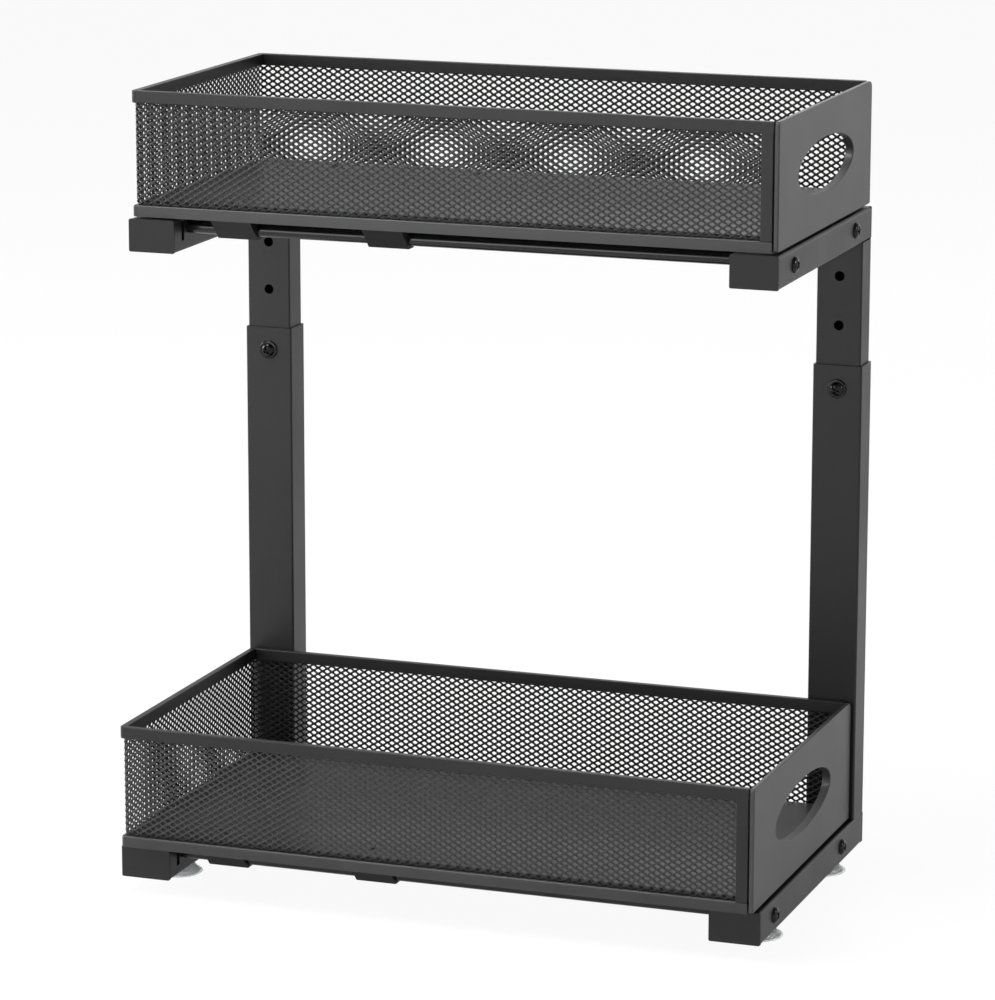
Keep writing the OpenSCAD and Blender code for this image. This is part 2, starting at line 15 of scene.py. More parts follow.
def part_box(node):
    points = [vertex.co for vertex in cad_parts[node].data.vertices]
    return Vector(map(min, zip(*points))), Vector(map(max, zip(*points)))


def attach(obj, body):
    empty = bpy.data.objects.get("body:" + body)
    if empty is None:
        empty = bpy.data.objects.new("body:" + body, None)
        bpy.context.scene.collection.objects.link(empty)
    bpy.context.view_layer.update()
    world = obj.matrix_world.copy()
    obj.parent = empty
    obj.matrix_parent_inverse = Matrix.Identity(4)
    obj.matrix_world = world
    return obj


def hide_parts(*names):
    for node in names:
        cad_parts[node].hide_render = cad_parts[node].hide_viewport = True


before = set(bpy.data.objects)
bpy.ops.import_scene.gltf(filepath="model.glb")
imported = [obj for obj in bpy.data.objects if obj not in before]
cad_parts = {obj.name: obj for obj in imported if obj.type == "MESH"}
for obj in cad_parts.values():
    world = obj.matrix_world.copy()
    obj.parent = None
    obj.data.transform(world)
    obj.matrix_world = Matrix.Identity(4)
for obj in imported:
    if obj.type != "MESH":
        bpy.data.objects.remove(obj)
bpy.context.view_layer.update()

MM = 0.001

# %% [markdown]
# ## The camera
# A long lens flattens a product shot, so the lens and the distance have to be found together.
# They could be guessed by eye. Here they were solved from the corners of the rails, posts and
# baskets, which leaves only a place, two angles and a focal length in pixels to write down.

# %% Stand the camera where the photograph was taken
PICTURE_TALL = 1000
FOCAL_PX = 4548
CAMERA_AT = Vector((899.15, -2502.3, 823.15)) * MM
CAMERA_DOWN = 12.49
CAMERA_TURN = 19.74
CAMERA_ROLL = 0.08
SENSOR_WIDE = 36
FARTHEST_SEEN = 30

camera_data = bpy.data.cameras.new("camera")
camera_data.sensor_width = SENSOR_WIDE
camera_data.lens = FOCAL_PX / PICTURE_TALL * SENSOR_WIDE
camera_data.clip_end = FARTHEST_SEEN
camera = bpy.data.objects.new("camera", camera_data)
tilt = Euler((radians(90 - CAMERA_DOWN), 0, radians(CAMERA_TURN))).to_matrix()
roll = Matrix.Rotation(radians(CAMERA_ROLL), 3, "Z")
camera.matrix_world = Matrix.Translation(CAMERA_AT) @ (tilt @ roll).to_4x4()
bpy.context.scene.collection.objects.link(camera)
bpy.context.scene.camera = camera
print("lens", round(camera_data.lens, 1), "mm")

# %% [markdown]
# ## The finishes
# Nearly everything is steel under a satin black powder coat. A powder coat melts into a skin
# with a faint pebbled surface, so one noise at half a millimetre drives a shallow bump, and a
# slow, wide noise moves the roughness a little, as hands and handling do. The moulded parts are
# less shiny and more even, with a fine spark-eroded grain.

# %% A procedural coat for steel and plastic
CLOUDS_PER_METRE = 22
CLOUD_RANGE = (0.3, 0.7)
TONE_DRIFT = 0.18
PEBBLE_STRENGTH = 0.35
COOL_BLACK = (1, 1, 1.03)


def pebbled_coat(name, tone, shine, drift, grain, depth, index=1.42):
    """Black coat: tone is its lightness, shine its roughness, grain the pebble size in metres."""
    coat = bpy.data.materials.new(name)
    coat.use_nodes = True
    nodes, links = coat.node_tree.nodes, coat.node_tree.links
    shader = nodes["Principled BSDF"]
    shader.inputs["IOR"].default_value = index
    place = nodes.new("ShaderNodeTexCoord")

    cloud = nodes.new("ShaderNodeTexNoise")
    cloud.inputs["Scale"].default_value = CLOUDS_PER_METRE
    cloud.inputs["Detail"].default_value = 5
    links.new(place.outputs["Object"], cloud.inputs["Vector"])

    tones = nodes.new("ShaderNodeValToRGB")
    shares = (1 - TONE_DRIFT, 1 + TONE_DRIFT)
    for stop, place_at, share in zip(tones.color_ramp.elements, CLOUD_RANGE, shares):
        stop.position = place_at
        stop.color = [tone * share * t for t in COOL_BLACK] + [1]
    links.new(cloud.outputs["Fac"], tones.inputs["Fac"])
    links.new(tones.outputs["Color"], shader.inputs["Base Color"])

    worn = nodes.new("ShaderNodeMapRange")
    worn.inputs["From Min"].default_value, worn.inputs["From Max"].default_value = CLOUD_RANGE
    worn.inputs["To Min"].default_value = shine - drift
    worn.inputs["To Max"].default_value = shine + drift
    links.new(cloud.outputs["Fac"], worn.inputs["Value"])
    links.new(worn.outputs["Result"], shader.inputs["Roughness"])

    pebbles = nodes.new("ShaderNodeTexNoise")
    pebbles.inputs["Scale"].default_value = 1 / grain
    pebbles.inputs["Detail"].default_value = 2
    links.new(place.outputs["Object"], pebbles.inputs["Vector"])
    skin = nodes.new("ShaderNodeBump")
    skin.inputs["Strength"].default_value = PEBBLE_STRENGTH
    skin.inputs["Distance"].default_value = depth
    links.new(pebbles.outputs["Fac"], skin.inputs["Height"])
    links.new(skin.outputs["Normal"], shader.inputs["Normal"])
    return coat


tube_coat = pebbled_coat("tube_coat", 0.014, 0.38, 0.04, 0.6 * MM, 0.03 * MM)
rod_coat = pebbled_coat("rod_coat", 0.012, 0.16, 0.04, 0.6 * MM, 0.01 * MM)
# The end panel takes the same black powder coat, painted about three times lighter: painted light that
# stands in for the light falling on its outward face.
panel_coat_painted_light = pebbled_coat("panel_coat_painted_light", 0.05, 0.42, 0.04, 0.6 * MM, 0.03 * MM, 1.53)
# The floor pan takes the same black powder coat, painted about three times lighter: painted light that
# stands in for the light falling on the floor from above.
sheet_coat_painted_light = pebbled_coat("sheet_coat_painted_light", 0.045, 0.32, 0.03, 0.6 * MM, 0.02 * MM)
mesh_coat = pebbled_coat("mesh_coat", 0.02, 0.38, 0.04, 0.5 * MM, 0.02 * MM, 1.5)
moulded_black = pebbled_coat("moulded_black", 0.012, 0.5, 0.03, 0.25 * MM, 0.02 * MM)
glide_black = pebbled_coat("glide_black", 0.008, 0.6, 0.03, 0.25 * MM, 0.02 * MM, 1.35)
screw_black = pebbled_coat("screw_black", 0.003, 0.16, 0.04, 0.2 * MM, 0.003 * MM, 1.38)
print("coats made")

# %% [markdown]
# The suction cups are soft clear vinyl. Clear things are easy to overdo: full transmission at
# this size would vanish on a white floor. A little roughness and a grey tint keep the milky
# look of vinyl, and a slow noise in the roughness stands for the moulding marks.

# %% Clear vinyl for the cups
MARKS_PER_METRE = 160
HAZE = (0.1, 0.3)

clear_vinyl = bpy.data.materials.new("clear_vinyl")
clear_vinyl.use_nodes = True
vinyl_nodes, vinyl_links = clear_vinyl.node_tree.nodes, clear_vinyl.node_tree.links
vinyl_shader = vinyl_nodes["Principled BSDF"]
vinyl_shader.inputs["Base Color"].default_value = (0.86, 0.88, 0.89, 1)
vinyl_shader.inputs["Transmission Weight"].default_value = 0.8
vinyl_shader.inputs["IOR"].default_value = 1.5
vinyl_marks = vinyl_nodes.new("ShaderNodeTexNoise")
vinyl_marks.inputs["Scale"].default_value = MARKS_PER_METRE
vinyl_place = vinyl_nodes.new("ShaderNodeTexCoord")
vinyl_links.new(vinyl_place.outputs["Object"], vinyl_marks.inputs["Vector"])
vinyl_haze = vinyl_nodes.new("ShaderNodeMapRange")
vinyl_haze.inputs["To Min"].default_value, vinyl_haze.inputs["To Max"].default_value = HAZE
vinyl_links.new(vinyl_marks.outputs["Fac"], vinyl_haze.inputs["Value"])
vinyl_links.new(vinyl_haze.outputs["Result"], vinyl_shader.inputs["Roughness"])

# %% [markdown]
# ## From points to a piece
# Every piece below is a list of points and faces, because each one comes from a rule: a row of
# loops, a sweep or a lattice. One helper turns them into an object, gives it its finish, hangs it
# on an empty for the body that carries it and hides the plain CAD nodes it stands for.

# %% Make a piece and hang it on its body
SMOOTH_BELOW = radians(40)
LARGE_FACES_LEAD = 100


def make_piece(name, points, faces, finish, body, stands_for=(), flats=False):
    """A finished piece on its body; flats keeps large faces flat right up to their folds."""
    form = bpy.data.meshes.new(name)
    form.from_pydata(points, [], faces)
    tidy = bmesh.new()
    tidy.from_mesh(form)
    bmesh.ops.recalc_face_normals(tidy, faces=tidy.faces)
    tidy.to_mesh(form)
    tidy.free()
    form.shade_smooth()
    form.set_sharp_from_angle(angle=SMOOTH_BELOW)
    form.materials.append(finish)
    piece = bpy.data.objects.new(name, form)
    bpy.context.scene.collection.objects.link(piece)
    if flats:
        steady = piece.modifiers.new("flat_faces", "WEIGHTED_NORMAL")
        steady.weight = LARGE_FACES_LEAD
        steady.keep_sharp = True
    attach(piece, body)
    if stands_for:
        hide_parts(*stands_for)
    print(name, len(form.vertices), "points")
    return piece


def bridge(loops, closed_ring=False, caps=True):
    """Faces between loops that have equally many points; a ring joins its last loop to its first."""
    count = len(loops[0])
    points = [p for loop in loops for p in loop]
    faces = []
    for k in range(len(loops) if closed_ring else len(loops) - 1):
        a, b = k * count, (k + 1) % len(loops) * count
        for i in range(count):
            j = (i + 1) % count
            faces.append((a + i, a + j, b + j, b + i))
    if caps and not closed_ring:
        faces.append(tuple(range(count)))
        faces.append(tuple(range(len(points) - count, len(points))))
    return points, faces


# %% [markdown]
# ## Tubes, rods and caps
# The tubes and rods are right as the CAD made them, long edges rounded and holes cut, so they
# keep their meshes and only take the coat. A saw-cut or moulded edge is never quite sharp, and
# a thin bevel on the sharp edges catches the light as a real one does.

# %% Dress the CAD nodes that stay
SHARP_ABOVE = radians(50)
POST_EDGE = 0.25 * MM
CAP_EDGE = 0.35 * MM
GLIDE_EDGE = 0.5 * MM


def soften(node, width):
    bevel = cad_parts[node].modifiers.new("edge", "BEVEL")
    bevel.width = width
    bevel.segments = 2
    bevel.limit_method = "ANGLE"
    bevel.angle_limit = SHARP_ABOVE
    bevel.harden_normals = True


def dress(node, finish):
    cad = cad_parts[node]
    cad.data.materials.clear()
    cad.data.materials.append(finish)


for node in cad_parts:
    if "_rail_l" in node or "_rail_r" in node or "post" in node or "rivets" in node:
        dress(node, tube_coat)
    if "post" in node:
        soften(node, POST_EDGE)
    if "_rod_" in node:
        dress(node, rod_coat)
    if "_cap_" in node:
        dress(node, moulded_black)
        soften(node, CAP_EDGE)
    if "_glide_" in node and "rivets" not in node:
        dress(node, glide_black)
        soften(node, GLIDE_EDGE)

# %% [markdown]
# ## Expanded mesh
# The walls are expanded steel: a sheet is slit and pulled until the slits open into diamonds.
# An image of diamonds would look flat up close, and crossing wires would look woven, which
# this isn't. So each wall is one sheet whose faces are laid out diamond by diamond: four corner
# knots, eight points round a blunt opening, eight small faces between them. The lattice runs as one
# strip from the front wall round both left corners to the rear wall, as a bent sheet does, and
# a Solidify modifier gives it its thickness.

# %% The strip that a basket's mesh follows
BASE_BAND = 6.7 * MM


def basket_measures(tier):
    """The sizes of a basket's parts, read from its CAD nodes."""
    rim_low, rim_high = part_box(f"{tier}_basket_rim")
    floor_low, floor_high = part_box(f"{tier}_basket_floor")
    panel_low, panel_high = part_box(f"{tier}_handle_panel")
    wall_low, wall_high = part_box(f"{tier}_mesh_front")
    end_low, end_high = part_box(f"{tier}_mesh_end")
    rear_low, rear_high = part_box(f"{tier}_mesh_rear")
    return {
        "left": rim_low[0], "band_end": rim_high[0], "right": panel_high[0], "lip_end": panel_low[0],
        "front": rim_low[1], "back": rim_high[1],
        "base": floor_low[2], "ledge": floor_low[2] + BASE_BAND, "floor": floor_high[2], "top": rim_high[2],
        "mesh_left": (end_low[0] + end_high[0]) / 2, "mesh_right": wall_high[0],
        "mesh_front": (wall_low[1] + wall_high[1]) / 2, "mesh_back": (rear_low[1] + rear_high[1]) / 2,
    }


class WallPath:
    """A U seen from above: along the front to the left, round two corners and back along the rear."""

    def __init__(self, left, right, front, back, corner):
        self.left, self.right, self.front, self.back, self.corner = left, right, front, back, corner
        self.side = right - left - corner
        self.bend = corner * pi / 2
        self.end = back - front - 2 * corner
        self.length = 2 * self.side + 2 * self.bend + self.end

    def at(self, along):
        """The point at that distance along the U, and its outward direction."""
        r = self.corner
        if along < self.side:
            return Vector((self.right - along, self.front)), Vector((0, -1))
        along -= self.side
        if along < self.bend:
            turn = along / r
            out = Vector((-sin(turn), -cos(turn)))
            return Vector((self.left + r, self.front + r)) + out * r, out
        along -= self.bend
        if along < self.end:
            return Vector((self.left, self.front + r + along)), Vector((-1, 0))
        along -= self.end
        if along < self.bend:
            turn = along / r
            out = Vector((-cos(turn), sin(turn)))
            return Vector((self.left + r, self.back - r)) + out * r, out
        along -= self.bend
        return Vector((self.left + r + along, self.back)), Vector((0, 1))


# %% Lay out the diamonds
DIAMOND_WIDE = 6.25 * MM
DIAMOND_TALL = 3.94 * MM
STRAND = 1.05 * MM
SHEET_THICK = 0.8 * MM
MESH_CORNER = 2 * MM
TIP_AT = 0.76
CREST_AT = 0.88
TWIST = 0.35 * MM
TUCKED_IN_RIM = 1.5 * MM

# An opening's eight points, as shares of a full diamond: blunt at its sides, crest and foot
OPENING = [
    (TIP_AT, TIP_AT - 1), (TIP_AT, 1 - TIP_AT), (1 - CREST_AT, CREST_AT), (CREST_AT - 1, CREST_AT),
    (-TIP_AT, 1 - TIP_AT), (-TIP_AT, TIP_AT - 1), (CREST_AT - 1, -CREST_AT), (1 - CREST_AT, -CREST_AT),
]


def expanded_mesh(tier):
    size = basket_measures(tier)
    sides = [size[side] for side in ("mesh_left", "mesh_right", "mesh_front", "mesh_back")]
    path = WallPath(*sides, MESH_CORNER)
    low, high = size["ledge"], size["top"] - TUCKED_IN_RIM
    columns = 2 * round(path.length / DIAMOND_WIDE)
    rows = 2 * round((high - low) / DIAMOND_TALL)
    step = path.length / columns
    rise = (high - low) / rows
    edge = STRAND / 2 * hypot(step, rise)
    open_wide, open_tall = step - edge / rise, rise - edge / step

    points, index, faces = [], {}, []

    def point(column, row, wide=0, tall=0):
        key = (column, row, wide, tall)
        if key not in index:
            spot, out = path.at(min(max(column * step + wide * open_wide, 0), path.length))
            spot = spot + out * (TWIST * tall)
            index[key] = len(points)
            points.append((spot.x, spot.y, low + row * rise + tall * open_tall))
        return index[key]

    for column in range(1, columns):
        for row in range(1, rows):
            if (column + row) % 2 == 0:
                continue
            round_it = ((1, 0), (0, 1), (-1, 0), (0, -1))
            knots = [point(column + right, row + up) for right, up in round_it]
            hole = [point(column, row, wide, tall) for wide, tall in OPENING]
            for k in range(4):
                n = (k + 1) % 4
                faces.append((knots[k], hole[2 * k], hole[2 * k + 1]))
                faces.append((knots[k], knots[n], hole[(2 * k + 2) % 8], hole[2 * k + 1]))
    walls = [f"{tier}_mesh_front", f"{tier}_mesh_rear", f"{tier}_mesh_end"]
    piece = make_piece(f"{tier}_expanded_mesh", points, faces, mesh_coat, f"{tier}_basket",
                       walls)
    thick = piece.modifiers.new("thickness", "SOLIDIFY")
    thick.thickness = SHEET_THICK
    thick.offset = 0
    print(tier, columns // 2, "diamonds along,", rows // 2, "up")


for tier in ("upper", "lower"):
    expanded_mesh(tier)

# %% [markdown]
# ## The folded rim
# The top edge of the mesh is held in a folded band that runs round three sides and turns down
# beside the end panel. A curve with a bevel could make it. A sweep written out keeps the
# corners true circles and the band's own edges softly rounded, which is where light runs along.

# %% Sweep the band round the basket
RIM_CORNER = 3.4 * MM
RIM_TALL = 7.2 * MM
RIM_THICK = 4 * MM
FOLD = 0.5 * MM
STRIP_WIDE = 7.2 * MM
RIM_BEND_STEPS = 10


def rounded_outline(wide, tall, radius, steps=4):
    """A rectangle with round corners, centred, as (across, up) pairs."""
    outline = []
    for corner in range(4):
        middle_x = (wide / 2 - radius) * (1 if corner in (0, 3) else -1)
        middle_y = (tall / 2 - radius) * (1 if corner < 2 else -1)
        for k in range(steps + 1):
            turn = corner * pi / 2 + k / steps * pi / 2
            outline.append((middle_x + radius * cos(turn), middle_y + radius * sin(turn)))
    return outline


def rim(tier):
    size = basket_measures(tier)
    path = WallPath(size["left"], size["band_end"], size["front"], size["back"], RIM_CORNER)
    stops = [0]
    for start in (path.side, path.side + path.bend + path.end):
        stops += [start + k / RIM_BEND_STEPS * path.bend for k in range(RIM_BEND_STEPS + 1)]
    stops.append(path.length)
    outline = rounded_outline(RIM_THICK, RIM_TALL, FOLD)
    loops = []
    for stop in stops:
        spot, out = path.at(stop)
        middle = size["top"] - RIM_TALL / 2
        loops.append([(*(spot + out * (across - RIM_THICK / 2)), middle + up) for across, up in outline])
    points, faces = bridge(loops)

    strip_loops = []
    outline = rounded_outline(STRIP_WIDE, RIM_THICK, FOLD)
    for height in (size["ledge"], size["top"] - RIM_TALL + FOLD):
        strip_loops.append([(size["band_end"] - STRIP_WIDE / 2 + a, b, height) for a, b in outline])
    for side_y in (size["front"] + RIM_THICK / 2, size["back"] - RIM_THICK / 2):
        more, more_faces = bridge(strip_loops)
        start = len(points)
        points += [(x, side_y + y, z) for x, y, z in more]
        faces += [tuple(start + i for i in face) for face in more_faces]
    make_piece(f"{tier}_rim_band", points, faces, tube_coat, f"{tier}_basket",
               [f"{tier}_basket_rim"], flats=True)


for tier in ("upper", "lower"):
    rim(tier)

# %% [markdown]
# ## The floor pan
# The floor is one sheet. Inside the walls it stands a little raised, round that runs a ledge
# for the mesh, and the edges fold down into a band. A solid box would lose the hollow seen from
# below. Instead, loops run from under the flat out to the hem, round its foot, up the outside
# and over two small bends back onto the flat, and two big faces close the sheet.

# %% Fold the floor sheet
SHEET = 1.2 * MM
HEM_BEND = 1.1 * MM
RAISE_IN = 4.1 * MM
RAISE_BEND = 0.7 * MM
PAN_CORNER = 3 * MM
SQUARE_CORNER = 0.3 * MM
LEAST_RADIUS = 0.1 * MM
BEND_STEPS = 4
PAN_CORNER_STEPS = 6


def pan_loop(size, inset, height, right):
    """The pan's outline seen from above, drawn in by inset; its right-hand corners are nearly square."""
    loop = []
    low, high = (size["left"] + inset, size["front"] + inset), (right, size["back"] - inset)
    for corner, radius in enumerate((SQUARE_CORNER, PAN_CORNER, PAN_CORNER, SQUARE_CORNER)):
        r = max(radius - inset, LEAST_RADIUS)
        x = high[0] - r if corner in (0, 3) else low[0] + r
        y = high[1] - r if corner < 2 else low[1] + r
        for k in range(PAN_CORNER_STEPS + 1):
            turn = corner * pi / 2 + k / PAN_CORNER_STEPS * pi / 2
            loop.append((x + r * cos(turn), y + r * sin(turn), height))
    return loop


def floor_pan(tier):
    size = basket_measures(tier)
    base, ledge, top, end = size["base"], size["ledge"], size["floor"], size["band_end"]
    panel = size["right"] - SHEET
    bends = [k / BEND_STEPS * pi / 2 for k in range(BEND_STEPS + 1)]
    loops = [
        pan_loop(size, RAISE_IN + SHEET, top - SHEET, panel),
        pan_loop(size, RAISE_IN + SHEET, ledge - SHEET, panel),
        pan_loop(size, SHEET, ledge - SHEET, end - SHEET),
        pan_loop(size, SHEET, base, end - SHEET),
        pan_loop(size, 0, base, end),
    ]
    for turn in bends:
        inset = HEM_BEND * (1 - cos(turn))
        loops.append(pan_loop(size, inset, ledge - HEM_BEND * (1 - sin(turn)), end - inset))
    loops.append(pan_loop(size, RAISE_IN, ledge, panel))
    for turn in bends:
        inset = RAISE_IN + RAISE_BEND * (1 - cos(turn))
        loops.append(pan_loop(size, inset, top - RAISE_BEND * (1 - sin(turn)), panel))
    points, faces = bridge(loops)
    make_piece(f"{tier}_floor_pan", points, faces, sheet_coat_painted_light, f"{tier}_basket",
               [f"{tier}_basket_floor"], flats=True)


for tier in ("upper", "lower"):
    floor_pan(tier)

# %% [markdown]
# ## The end panel and its hand hole
# The panel is a pressed sheet: its outline is folded back, and the oval is flanged inward so
# that no cut edge meets the fingers. Cutting the oval with a boolean would leave long thin
# faces and a sharp edge. Here every loop has one point per direction from the middle, so the
# outline, the folds, the flat and the flanged oval are rings of one continuous skin.

# %% Press the panel
OVAL_LONG = 117 * MM
OVAL_TALL = 32 * MM
OVAL_POINTS = 96
HAND_HOLE_RISE = 37.9 * MM
LIP_ROLL = 0.5 * MM
EDGE_FOLD = 0.8 * MM
EDGE_DEEP = 2.6 * MM
FRONT_CORNER = 2 * MM
REAR_CORNER = 4 * MM
FOOT_CORNER = 1.5 * MM
FOOT_LIFT = 0.5 * MM
LIP_EDGE = 0.3 * MM
CORNER_STEPS = 6
TOO_NEAR = 0.03


def panel_outline(size):
    """Points round the panel, seen from the hand hole's middle, with their outward directions."""
    half, foot = (size["back"] - size["front"]) / 2, FOOT_LIFT - HAND_HOLE_RISE
    head = size["top"] - size["base"] - HAND_HOLE_RISE
    a, b = OVAL_LONG / 2, OVAL_TALL / 2
    corners = [
        (half, head, REAR_CORNER), (-half, head, FRONT_CORNER),
        (-half, foot, FOOT_CORNER), (half, foot, FOOT_CORNER),
    ]
    rim_points = []
    for k, (y, z, r) in enumerate(corners):
        for step in range(CORNER_STEPS + 1):
            turn = (k + step / CORNER_STEPS) * pi / 2
            out = (cos(turn), sin(turn))
            middle = (y - r if y > 0 else y + r, z - r if z > 0 else z + r)
            rim_points.append((middle[0] + r * out[0], middle[1] + r * out[1], out))
    corner_angles = [atan2(z / b, y / a) for y, z, _ in rim_points]
    for k in range(OVAL_POINTS):
        angle = -pi + 2 * pi * (k + 0.5) / OVAL_POINTS
        if min(abs((angle - c + pi) % (2 * pi) - pi) for c in corner_angles) < TOO_NEAR:
            continue
        dy, dz = a * cos(angle), b * sin(angle)
        to_side, to_edge = half / abs(dy), (head if dz > 0 else foot) / dz
        out = (1 if dy > 0 else -1, 0) if to_side < to_edge else (0, 1 if dz > 0 else -1)
        reach = min(to_side, to_edge)
        rim_points.append((dy * reach, dz * reach, out))
    rim_points.sort(key=lambda p: atan2(p[1] / b, p[0] / a))
    return rim_points


def handle_panel(tier):
    size = basket_measures(tier)
    centre_y, centre_z = (size["front"] + size["back"]) / 2, size["base"] + HAND_HOLE_RISE
    outline = panel_outline(size)
    face = size["right"]

    def edge(inset, x):
        return [(x, centre_y + y - out[0] * inset, centre_z + z - out[1] * inset) for y, z, out in outline]

    def oval(grow, x):
        loop = []
        for y, z, _ in outline:
            angle = atan2(z / OVAL_TALL, y / OVAL_LONG)
            along, up = (OVAL_LONG / 2 + grow) * cos(angle), (OVAL_TALL / 2 + grow) * sin(angle)
            loop.append((x, centre_y + along, centre_z + up))
        return loop

    def bend(make, at, x, radius, sign):
        """Loops round a quarter bend, from the edge of the face into the depth."""
        steps = [k / BEND_STEPS * pi / 2 for k in range(BEND_STEPS + 1)]
        return [make(at + sign * radius * (1 - sin(turn)), x - radius * (1 - cos(turn))) for turn in steps]

    loops = [edge(SHEET, face - SHEET), edge(SHEET, face - EDGE_DEEP), edge(0, face - EDGE_DEEP)]
    loops += bend(edge, 0, face, EDGE_FOLD, 1)[::-1]
    loops += bend(oval, 0, face, LIP_ROLL, 1)
    lip_end = size["lip_end"]
    loops += [oval(0, lip_end + LIP_EDGE), oval(LIP_EDGE, lip_end), oval(SHEET - LIP_EDGE, lip_end),
              oval(SHEET, lip_end + LIP_EDGE), oval(SHEET, face - SHEET - LIP_ROLL),
              oval(2 * SHEET, face - SHEET)]
    points, faces = bridge(loops, closed_ring=True)
    make_piece(f"{tier}_pressed_panel", points, faces, panel_coat_painted_light, f"{tier}_basket",
               [f"{tier}_handle_panel"], flats=True)


for tier in ("upper", "lower"):
    handle_panel(tier)

# %% [markdown]
# ## Screws with a cross recess
# Ten screw heads face the viewer on a clean black frame, so they carry a good part of the
# realism. The head is a fine round grid. Its height follows a dome, and inside the arms of a
# cross it drops to a cone, which gives the recess slanted ends as a real driver bit needs.

# %% Shape a screw head
HEAD_SPOKES = 96
HEAD_RINGS = 26
DOME_POWER = 2.6
ARM_HALF = 0.17
ARM_REACH = 0.56
RECESS_DEEP = 0.75
FLANGE_STEPS = 4


def smooth_step(low, high, value):
    t = min(max((value - low) / (high - low), 0), 1)
    return t * t * (3 - 2 * t)


def head_height(u, v, dome, shoulder, spin):
    """The head's height over its seat at a point of the unit disc."""
    distance = min(hypot(u, v), 1)
    height = shoulder + dome * sqrt(max(1 - distance ** DOME_POWER, 0))
    x, y = u * cos(spin) + v * sin(spin), v * cos(spin) - u * sin(spin)
    across, along = min(abs(x), abs(y)), max(abs(x), abs(y))
    inside = (1 - smooth_step(ARM_HALF - 0.05, ARM_HALF + 0.03, across)) * \
        (1 - smooth_step(ARM_REACH - 0.1, ARM_REACH + 0.06, along))
    return height - inside * dome * RECESS_DEEP * (1.1 - 0.5 * along / ARM_REACH)


def screw_head(seat, axis, radius, dome, shoulder, spin, flange=None):
    """Points and faces of one head that stands on seat and points along axis."""
    side = Vector((0, 0, 1)).cross(axis).normalized()
    up = axis.cross(side)
    rings = []
    if flange:
        flange_radius, flange_tall, round_off = flange
        rings += [(flange_radius, 0), (flange_radius, flange_tall - round_off)]
        for k in range(1, FLANGE_STEPS + 1):
            turn = k / FLANGE_STEPS * pi / 2
            drawn_in, drop = round_off * (1 - cos(turn)), round_off * (1 - sin(turn))
            rings.append((flange_radius - drawn_in, flange_tall - drop))
        rings.append((radius * 1.04, flange_tall))
    else:
        rings.append((radius, 0))
    loops = []
    for ring_radius, height in rings:
        loops.append([(ring_radius, height, k * 2 * pi / HEAD_SPOKES) for k in range(HEAD_SPOKES)])
    for ring in range(HEAD_RINGS):
        share = 1 - ring / HEAD_RINGS
        loop = []
        for k in range(HEAD_SPOKES):
            turn = k * 2 * pi / HEAD_SPOKES
            rise = head_height(share * cos(turn), share * sin(turn), dome, shoulder, spin)
            loop.append((share * radius, rise, turn))
        loops.append(loop)
    loops = [
        [seat + axis * h + side * (r * cos(t)) + up * (r * sin(t)) for r, h, t in loop]
        for loop in loops
    ]
    points, faces = bridge(loops, caps=False)
    middle = len(points)
    points.append(seat + axis * head_height(0, 0, dome, shoulder, spin))
    last = middle - HEAD_SPOKES
    faces += [(last + k, last + (k + 1) % HEAD_SPOKES, middle) for k in range(HEAD_SPOKES)]
    faces.append(tuple(range(HEAD_SPOKES)))
    return [tuple(p) for p in points], faces


def screw_set(name, heads, body, stands_for):
    points, faces = [], []
    for head in heads:
        more, more_faces = screw_head(*head)
        start = len(points)
        points += more
        faces += [tuple(start + i for i in face) for face in more_faces]
    make_piece(name, points, faces, screw_black, body, stands_for)


# %% Put the screws where the CAD has them
RAIL_HEAD_R = 4.8 * MM
RAIL_DOME = 2.2 * MM
RAIL_SHOULDER = 0.3 * MM
SPINS = (0.35, 1.1, 0.7, 0.1)

for tier in ("lower", "upper"):
    screws_low, screws_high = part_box(f"{tier}_rail_screws")
    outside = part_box(f"{tier}_rail_right")[1][0]
    middle_z = (screws_low[2] + screws_high[2]) / 2
    rows = screws_low[1] + RAIL_HEAD_R, screws_high[1] - RAIL_HEAD_R
    heads = []
    for k, (side, row) in enumerate([(-1, 0), (-1, 1), (1, 0), (1, 1)]):
        seat = Vector((side * outside, rows[row], middle_z))
        heads.append((seat, Vector((side, 0, 0)), RAIL_HEAD_R, RAIL_DOME, RAIL_SHOULDER, SPINS[k]))
    screw_set(f"{tier}_rail_screw_heads", heads, f"{tier}_frame", [f"{tier}_rail_screws"])

# %% The lock screws, with a wide flange
LOCK_HEAD_R = 4.2 * MM
LOCK_DOME = 2.3 * MM
LOCK_FLANGE = (5.8 * MM, 1.2 * MM, 0.5 * MM)

lock_low, lock_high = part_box("lock_screws")
lock_x = lock_high[0] - LOCK_FLANGE[0]
post_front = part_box("outer_post_left")[0][1]
heads = []
for side, spin in ((-1, 0.5), (1, 1.2)):
    seat = Vector((side * lock_x, post_front, (lock_low[2] + lock_high[2]) / 2))
    heads.append((seat, Vector((0, -1, 0)), LOCK_HEAD_R, LOCK_DOME, LOCK_FLANGE[1], spin, LOCK_FLANGE))
screw_set("lock_screw_heads", heads, "lower_frame", ["lock_screws"])

# %% [markdown]
# ## Suction cups
# A suction cup is a turned form: a stud and a bulb, a neck, and a thin skirt that flares to a
# flat lip. A spun outline with many sides keeps the skirt smooth, and the inside of the skirt
# is modelled too, because clear vinyl shows it.

# %% Spin the cups
CUP_SIDES = 72
